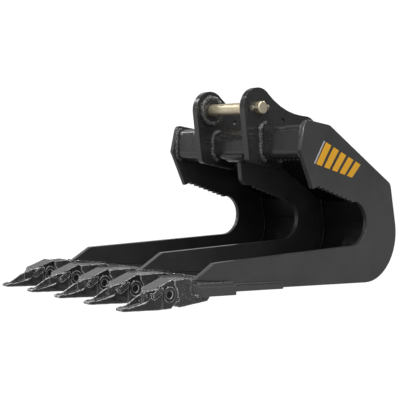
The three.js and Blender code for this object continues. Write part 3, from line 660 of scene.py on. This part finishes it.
# ---------------------------------------------------------------- painted bars on the right side plate
MARK_FROM = 480
MARK_LOW, MARK_LOW_SLOPE = 556, 0.19
MARK_HIGH, MARK_HIGH_SLOPE = 662, 0.34
BAR_LEAN = 62
FILM_FACES = (0.1, 0.7)  # the film's two faces, outside the plate
BARS, BAR_FROM, BAR_WIDE, BAR_PITCH = 5, 492, 38, 56
PALE_BAR = (476, 484)


def bar(name, y0, y1, material):
    """One slanted bar of thin film, between two sloping lines."""
    low, high = [], []
    for y in (y0, y1):
        low.append(Vector((0, y, MARK_LOW - MARK_LOW_SLOPE * (y - MARK_FROM))))
        high.append(Vector((0, y + BAR_LEAN, MARK_HIGH - MARK_HIGH_SLOPE * (y - MARK_FROM))))
    outline = [low[0], low[1], high[1], high[0]]
    points = [Vector((WIDTH / 2 + off, p.y, p.z)) for off in FILM_FACES for p in outline]
    faces = [(3, 2, 1, 0), (4, 5, 6, 7)]
    faces += [(k, (k + 1) % 4, 4 + (k + 1) % 4, 4 + k) for k in range(4)]
    return piece(name, points, faces, material, soft=False)


for k in range(BARS):
    start = BAR_FROM + BAR_PITCH * k
    bar(f"painted_bar_{k + 1}", start, start + BAR_WIDE, YELLOW)
bar("painted_bar_pale", *PALE_BAR, PALE)


# ---------------------------------------------------------------- stage, light and camera
def emitter(name, at, aim, size, power):
    data = bpy.data.lights.new(name, "AREA")
    data.shape = "RECTANGLE"
    data.size, data.size_y = size
    data.energy = power
    lamp = bpy.data.objects.new(name, data)
    lamp.location = at
    lamp.visible_camera = False
    lamp.rotation_euler = (Vector(aim) - Vector(at)).to_track_quat("-Z", "Y").to_euler()
    bpy.context.scene.collection.objects.link(lamp)


FLOOR_HALF = 60.0


def floor(name, depth, glow):
    """A wide pale floor with an even glow of its own, so it stays free of shadows."""
    mesh = bpy.data.meshes.new(name)
    corners = [(FLOOR_HALF * x, FLOOR_HALF * y, 0) for x, y in ((-1, -1), (1, -1), (1, 1), (-1, 1))]
    mesh.from_pydata(corners, [], [(0, 1, 2, 3)])
    g = Graph(name)
    mesh.materials.append(g.set(Base_Color=grey(0.05), Roughness=0.9, Emission_Color=grey(1),
                                Emission_Strength=glow, Specular_IOR_Level=0.0))
    thing = bpy.data.objects.new(name, mesh)
    thing.location.z = -depth
    bpy.context.scene.collection.objects.link(thing)
    return thing


SKY_LIGHT, SKY_SEEN = 0.13, 1.1


def world():
    """A dim white sky for light, and a full white one behind the bucket."""
    sky = bpy.data.worlds.new("studio")
    bpy.context.scene.world = sky
    sky.use_nodes = True
    tree = sky.node_tree
    tree.nodes.clear()
    path = tree.nodes.new("ShaderNodeLightPath")
    mix = tree.nodes.new("ShaderNodeMixShader")
    tree.links.new(path.outputs["Is Camera Ray"], mix.inputs[0])
    for k, strength in enumerate((SKY_LIGHT, SKY_SEEN)):
        white = tree.nodes.new("ShaderNodeBackground")
        white.inputs["Color"].default_value = grey(1)
        white.inputs["Strength"].default_value = strength
        tree.links.new(white.outputs[0], mix.inputs[k + 1])
    out = tree.nodes.new("ShaderNodeOutputWorld")
    tree.links.new(mix.outputs[0], out.inputs[0])


CAMERA_AT = Vector((3006.0, -2483.8, 392.9))  # in the bucket's frame, as are the angles below
AZIMUTH, ELEVATION, ROLL = (math.radians(a) for a in (48.21, 0.37, 2.49))
LENS = 76.95
SENSOR = 36.0
FARTHEST = 200


def camera():
    back = Vector((math.sin(AZIMUTH) * math.cos(ELEVATION), -math.cos(AZIMUTH) * math.cos(ELEVATION),
                   math.sin(ELEVATION)))
    level = Vector((math.cos(AZIMUTH), math.sin(AZIMUTH), 0))
    plumb = back.cross(level)
    right = level * math.cos(ROLL) + plumb * math.sin(ROLL)
    up = plumb * math.cos(ROLL) - level * math.sin(ROLL)
    facing = Matrix((right, up, back)).transposed().to_4x4()
    data = bpy.data.cameras.new("camera")
    data.lens = LENS
    data.sensor_width = SENSOR
    data.clip_end = FARTHEST
    data.dof.use_dof = False
    thing = bpy.data.objects.new("camera", data)
    thing.matrix_world = Matrix.Translation(TO_ROW @ CAMERA_AT) @ TURN @ facing
    bpy.context.scene.collection.objects.link(thing)
    bpy.context.scene.camera = thing


# One floor is seen and lights nothing; the other lights the bucket from below and is not seen.
seen = floor("floor", 0.001, 1.05)
seen.visible_diffuse = False
seen.visible_glossy = False
bounce = floor("floor_bounce", 0.002, 0.52)
bounce.visible_camera = False
world()
camera()
# Lamps in row-frame metres: name, place, aim, size and watts.
AIM = (0, 0, 0.35)
LAMPS = (
    ("left key", (-3.1, -0.9, 2.6), AIM, (0.7, 1.6), 24),
    ("back", (-0.6, 2.8, 2.9), AIM, (2.6, 1.0), 34),
    ("left back", (-3.35, 1.1, 2.4), AIM, (3.0, 2.0), 11),
    ("left back low", (-3.3, 3.0, 0.7), AIM, (2.6, 1.4), 8),
    ("front left", (-3.2, -2.9, 0.7), AIM, (2.4, 1.4), 3),
    ("front right high", (2.4, -2.4, 3.4), AIM, (1.8, 1.8), 30),
    ("right back high", (2.6, 0.8, 2.8), (0, -0.4, 0.1), (0.35, 0.35), 16),
    ("over teeth", (0.6, -1.2, 3.3), (0.4, -0.9, 0), (2.0, 0.4), 26),
)
for lamp in LAMPS:
    emitter(*lamp)
# Small lamps for glints.
SPARK_SIZE, SPARK_POWER = 0.14, 4
SPARKS = ((-0.9, -3.4, 3.2), (-3.2, -1.9, 1.5), (-2.2, -2.8, 2.4), (0.6, -3.9, 1.9), (-1.6, -1.2, 3.6),
          (3.2, -3.2, 2.6), (3.9, -1.8, 1.9), (2.2, -3.9, 2.2), (2.7, -2.4, 1.2))
for k, at in enumerate(SPARKS):
    emitter(f"spark {k + 1}", at, AIM, (SPARK_SIZE, SPARK_SIZE), SPARK_POWER)
emitter("over middle", (0.9, 0.2, 3.4), (0.9, 0.2, 0), (1.6, 0.5), 20)
bpy.context.scene.view_settings.view_transform = "Standard"
